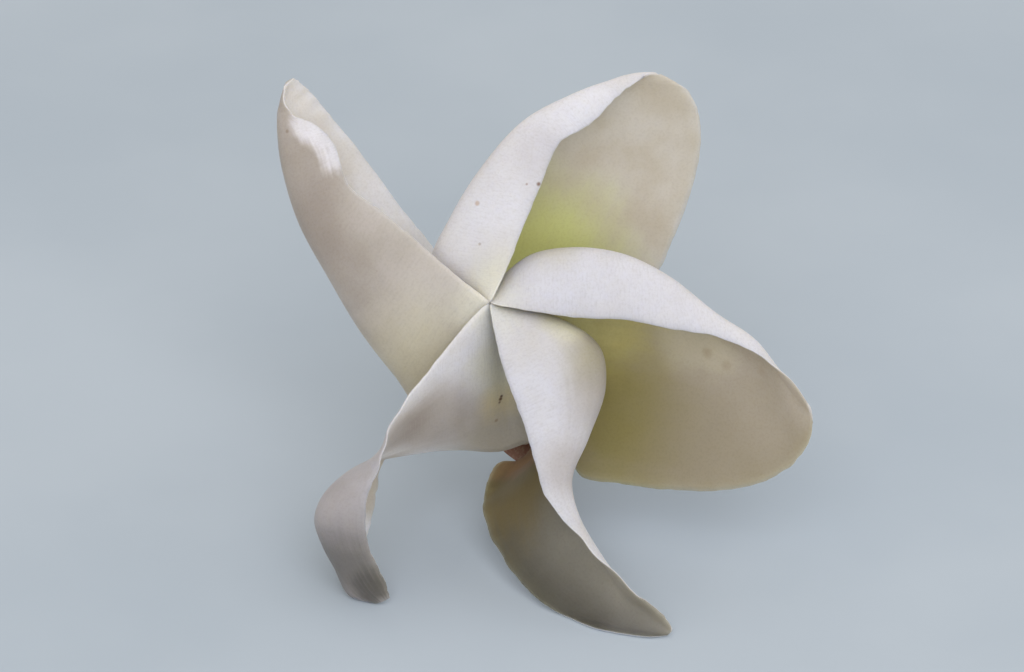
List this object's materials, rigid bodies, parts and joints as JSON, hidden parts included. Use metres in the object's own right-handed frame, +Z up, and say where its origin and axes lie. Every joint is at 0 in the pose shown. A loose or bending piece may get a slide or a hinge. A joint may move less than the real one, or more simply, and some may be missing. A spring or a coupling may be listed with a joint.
{
  "type": "plumeria flower",
  "caption": "picked plumeria bloom lying on its side, petals rolled like the vanes of a toy windmill, with its narrow corolla tube and a short cut stalk",
  "frame": {"origin": "under the middle of the bloom, on the surface that it lies on", "axes": "+Z up from the surface, -Y toward the side that the flower's face looks to, +X to the right across the face"},
  "size_m": [0.0678, 0.045, 0.058],
  "materials": {
    "petal_upper_left": "soft waxy petal, cream inside with a pinkish grey shade at its tip",
    "petal_top": "soft waxy petal, yellow-green at the throat",
    "petal_right": "soft waxy petal, yellow-olive at the throat",
    "petal_lower_right": "soft waxy petal, reddish brown at the neck",
    "petal_lower_left": "soft waxy petal, white lip and greyish hollow",
    "corolla_tube": "soft waxy tube, tinged with red",
    "calyx": "green, dull"
  },
  "bodies": {
    "root": {"petal_upper_left": "petal_upper_left", "petal_top": "petal_top", "petal_right": "petal_right", "petal_lower_right": "petal_lower_right", "petal_lower_left": "petal_lower_left", "corolla_tube": "corolla_tube", "calyx": "calyx"}
  },
  "joints": []
}
